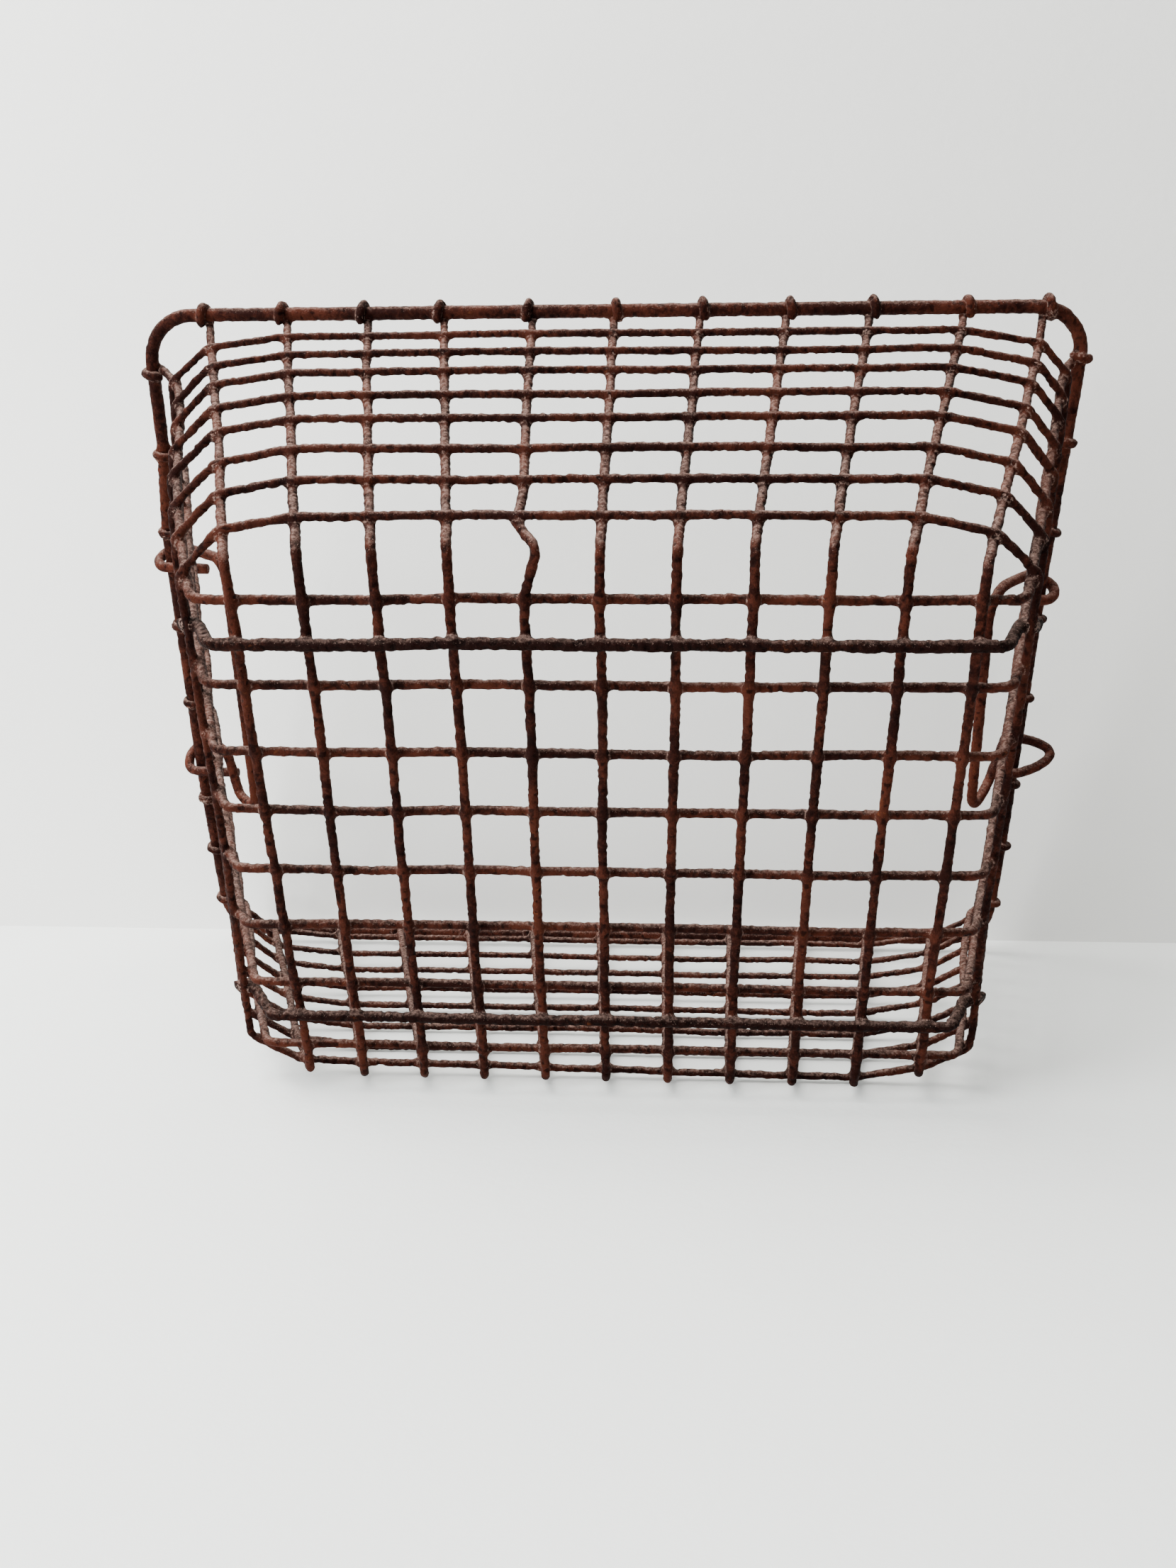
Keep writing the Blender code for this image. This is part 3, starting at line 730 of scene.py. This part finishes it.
def rust(name, red, dark, orange, pale, dark_share, top_light_and_dust_share):
    """Layered rust: red-brown, blackened scale, orange bloom, and pale grain where it faces up: partly dust,
    partly painted top light, with painted glints.
    """
    mat = bpy.data.materials.new(name)
    mat.use_nodes = True
    tree = mat.node_tree
    shader = tree.nodes["Principled BSDF"]
    coords = tree.nodes.new("ShaderNodeTexCoord")
    where = coords.outputs["Object"]
    height = stored(tree, "relief")
    weld = stored(tree, "weld")

    patches = cloud(tree, where, PATCH_SIZE, 3.0, 0.6, 0.4)
    mottle = cloud(tree, where, MOTTLE_SIZE, 8.0, 0.75, 0.4)
    grain = cloud(tree, where, GRAIN_SIZE, 5.0, 0.72)
    fleck = cloud(tree, where, FLECK_SIZE, 3.0, 0.7)

    centre = 0.52 - 0.12 * (dark_share - 0.5)
    darkness = between(tree, math_node(tree, "ADD", patches, mottle), 2 * centre - 0.20, 2 * centre + 0.09)
    colour = blend_colour(tree, darkness, red, dark)
    bloom = math_node(tree, "MULTIPLY", between(tree, mottle, 0.54, 0.70), between(tree, patches, 0.52, 0.34))
    colour = blend_colour(tree, bloom, colour, orange)
    pit = between(tree, height, 0.02, -0.22)
    pit = math_node(tree, "MULTIPLY", pit, PIT_STRENGTH)
    colour = blend_colour(tree, pit, colour, [c * 0.35 for c in dark])
    crumbs = math_node(tree, "MULTIPLY", between(tree, weld, 0.25, 0.9), between(tree, grain, 0.45, 0.62))
    colour = blend_colour(tree, math_node(tree, "MULTIPLY", crumbs, CRUMB_STRENGTH), colour, pale)

    # Upward-facing sides are blended toward the pale colour: partly dust, partly painted top light (a painted
    # highlight of the light from above).
    parts = add(tree, "ShaderNodeSeparateXYZ", Vector=coords.outputs["Normal"])
    facing_up = between(tree, parts.outputs["Z"], 0.25, 1.0)
    grainy = between(tree, grain, 0.40, 0.64, 0.12, 0.78)
    worn = math_node(tree, "MULTIPLY", grainy, between(tree, height, -0.24, 0.06, 0.4))
    dust_and_top_light = math_node(tree, "MULTIPLY", facing_up, worn)
    dust_and_top_light = math_node(tree, "MULTIPLY", dust_and_top_light, top_light_and_dust_share)
    # Painted glints: pale specks on upward-facing sides that stand in for highlights of the light from above.
    upper = between(tree, parts.outputs["Z"], -0.1, 0.6)
    painted_glints = math_node(tree, "MULTIPLY", between(tree, fleck, 0.58, 0.70), upper)
    painted_glints = math_node(tree, "MULTIPLY", painted_glints, PAINTED_GLINT_STRENGTH)
    dust_and_top_light = math_node(tree, "MAXIMUM", dust_and_top_light, painted_glints)
    colour = blend_colour(tree, dust_and_top_light, colour, pale)
    tree.links.new(colour, shader.inputs["Base Color"])

    gloss = between(tree, mottle, 0.35, 0.65, 0.50, 0.82)
    tree.links.new(gloss, shader.inputs["Roughness"])
    shader.inputs["Metallic"].default_value = 0.0
    shader.inputs["Specular IOR Level"].default_value = 0.03

    cracks = tree.nodes.new("ShaderNodeTexVoronoi")
    cracks.feature = "DISTANCE_TO_EDGE"
    tree.links.new(where, cracks.inputs["Vector"])
    cracks.inputs["Scale"].default_value = 1000.0 / FLAKE_SIZE
    flakes = between(tree, cracks.outputs["Distance"], 0.0, 0.12)
    coarse = math_node(tree, "MULTIPLY", grain, 1.3)
    surface = math_node(tree, "ADD", coarse, math_node(tree, "MULTIPLY", fleck, 0.5))
    surface = math_node(tree, "ADD", surface, math_node(tree, "MULTIPLY", flakes, 0.18))
    bump = add(tree, "ShaderNodeBump", Height=surface)
    bump.inputs["Strength"].default_value = 0.9
    bump.inputs["Distance"].default_value = 0.0005
    tree.links.new(bump.outputs["Normal"], shader.inputs["Normal"])
    return mat


# The pale colour serves the weld crumbs, the dust, and the painted top light and glints.
PALE = (0.31, 0.200, 0.165)
RED = (0.050, 0.0125, 0.0068)
DARK = (0.0125, 0.0032, 0.0022)
ORANGE = (0.110, 0.032, 0.0135)


def tinted(colour, factor):
    return tuple(factor * c for c in colour)


# For each slot: its four colours, then its shares of dark scale and of pale grain on upward-facing sides,
# which is partly dust and partly painted top light.
MATERIALS = {
    "rusty_wire": rust("rusty_wire", RED, DARK, ORANGE, PALE, 0.5, 0.9),
    "rusty_hoop": rust("rusty_hoop", tinted(RED, 0.9), DARK, ORANGE, PALE, 0.6, 0.9),
    "rusty_rim": rust("rusty_rim", tinted(RED, 1.1), tinted(DARK, 1.2), ORANGE, PALE, 0.45, 0.9),
    "dark_scale": rust("dark_scale", tinted(RED, 0.55), tinted(DARK, 0.6), tinted(ORANGE, 0.6), PALE,
                       1.2, 0.6),
    "rusty_handle": rust("rusty_handle", tinted(RED, 1.4), tinted(DARK, 1.8), tinted(ORANGE, 1.1), PALE,
                         0.3, 0.7),
}


# ---------------------------------------------------------------- the pieces

def make_bars():
    """Every bar of the basket, then the handles, which are welded to nothing."""
    bars = [Bar("rim_rod", "basket", rim_path(), RIM_RADIUS, 0.8, closed=True, stray=False)]
    for i in range(LONG_WIRES):
        bars.append(Bar(f"long_wire_{i + 1:02d}", "basket", long_wire_path(i), WIRE_RADIUS, 1.0, hooked=True))
    for j in range(len(CROSS_BASE)):
        bars.append(Bar(f"cross_wire_{j + 1}", "basket", cross_wire_path(j), WIRE_RADIUS, 1.0, hooked=True))
    for name, z in RUNNER_ACROSS.items():
        bars.append(Bar(name, "basket", runner_path(z), RUNNER_RADIUS, 1.5))
    for k, depth in enumerate(HOOP_DEPTHS):
        bars.append(Bar(f"wall_hoop_{k + 1}", "basket", hoop_path(depth), HOOP_RADIUS, 1.15, closed=True))
    find_neighbours(bars)
    for name, spec in HANDLES.items():
        bars.append(Bar(name, name, handle_path(spec), HANDLE_RADIUS, 0.7, stray=False))
    return bars


slots = {s["node"]: s["material_slot"] for s in frame["record"]["subparts"]}


def add_bar(bar):
    rings, height, weld = bar_mesh(bar)
    mesh = mesh_from_rings(bar.name + "_rusted", rings, bar.closed, {"relief": height, "weld": weld})
    piece = bpy.data.objects.new(bar.name + "_rusted", mesh)
    bpy.context.scene.collection.objects.link(piece)
    mesh.materials.append(MATERIALS[slots[bar.name]])
    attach(piece, bar.body)
    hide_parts(bar.name)


for bar in make_bars():
    add_bar(bar)


# ---------------------------------------------------------------- floor, wall, light and camera

def plain(name, colour, roughness):
    """A pale painted surface, very slightly uneven in tint and height."""
    mat = bpy.data.materials.new(name)
    mat.use_nodes = True
    tree = mat.node_tree
    shader = tree.nodes["Principled BSDF"]
    coords = tree.nodes.new("ShaderNodeTexCoord")
    soft = cloud(tree, coords.outputs["Object"], 180.0, 2.0, 0.5)
    tint = blend_colour(tree, between(tree, soft, 0.3, 0.7), [c * 0.97 for c in colour], colour)
    tree.links.new(tint, shader.inputs["Base Color"])
    shader.inputs["Roughness"].default_value = roughness
    pores = cloud(tree, coords.outputs["Object"], 5.0, 4.0, 0.6)
    bump = add(tree, "ShaderNodeBump", Height=pores)
    bump.inputs["Strength"].default_value = 0.25
    bump.inputs["Distance"].default_value = 0.0006
    tree.links.new(bump.outputs["Normal"], shader.inputs["Normal"])
    return mat


def flat_sheet(name, corners, mat):
    mesh = bpy.data.meshes.new(name)
    mesh.from_pydata(corners, [], [(0, 1, 2, 3)])
    obj = bpy.data.objects.new(name, mesh)
    bpy.context.scene.collection.objects.link(obj)
    mesh.materials.append(mat)


WALL_Y = 0.142
ROOM = 4                     # metres to each side, forward and up
flat_sheet("floor", [(-ROOM, -ROOM, 0), (ROOM, -ROOM, 0), (ROOM, WALL_Y, 0), (-ROOM, WALL_Y, 0)],
           plain("floor", (0.88, 0.90, 0.88), 0.6))
flat_sheet("wall", [(-ROOM, WALL_Y, 0), (ROOM, WALL_Y, 0), (ROOM, WALL_Y, ROOM), (-ROOM, WALL_Y, ROOM)],
           plain("wall", (0.88, 0.875, 0.85), 0.8))


def area_light(name, place, target, size, power, colour):
    lamp = bpy.data.lights.new(name, "AREA")
    lamp.shape = "RECTANGLE"
    lamp.size, lamp.size_y = size
    lamp.energy = power
    lamp.color = colour
    obj = bpy.data.objects.new(name, lamp)
    bpy.context.scene.collection.objects.link(obj)
    obj.location = place
    obj.rotation_euler = (Vector(target) - Vector(place)).to_track_quat("-Z", "Y").to_euler()


area_light("overhead", (-0.60, -0.30, 1.5), (0, 0.05, 0.1), (1.1, 0.9), 52, (1.0, 0.985, 0.96))
area_light("window", (-1.0, -0.75, 0.75), (-0.15, 0, 0.15), (0.7, 0.9), 33, (0.97, 0.99, 1.0))
world = bpy.data.worlds.new("studio")
world.use_nodes = True
world.node_tree.nodes["Background"].inputs["Color"].default_value = (0.93, 0.96, 1.0, 1)
world.node_tree.nodes["Background"].inputs["Strength"].default_value = 0.17
bpy.context.scene.world = world

# The camera: its place in the basket's frame, and its turn from looking straight along the depth.
CAMERA_PLACE = Vector((17.2, -390.0, 234.4)) * MM
CAMERA_TURN = Vector((0.491, 0.052, -0.004))      # about right, down and forward, in radians
CAMERA_LENS = 28.48                               # mm, on a 36 mm sensor along the picture's long side

turn = Matrix.Rotation(CAMERA_TURN.length, 3, CAMERA_TURN)
right, down, ahead = (Vector((row[0], row[2], -row[1])) for row in turn)
view = Matrix((right, -down, -ahead)).transposed()
camera_data = bpy.data.cameras.new("camera")
camera_data.sensor_width = 36
camera_data.lens = CAMERA_LENS
camera_data.clip_start = 0.01
camera = bpy.data.objects.new("camera", camera_data)
bpy.context.scene.collection.objects.link(camera)
placing = (STAND @ view).to_4x4()
placing.translation = basket_origin + STAND @ CAMERA_PLACE
camera.matrix_world = placing
bpy.context.scene.camera = camera
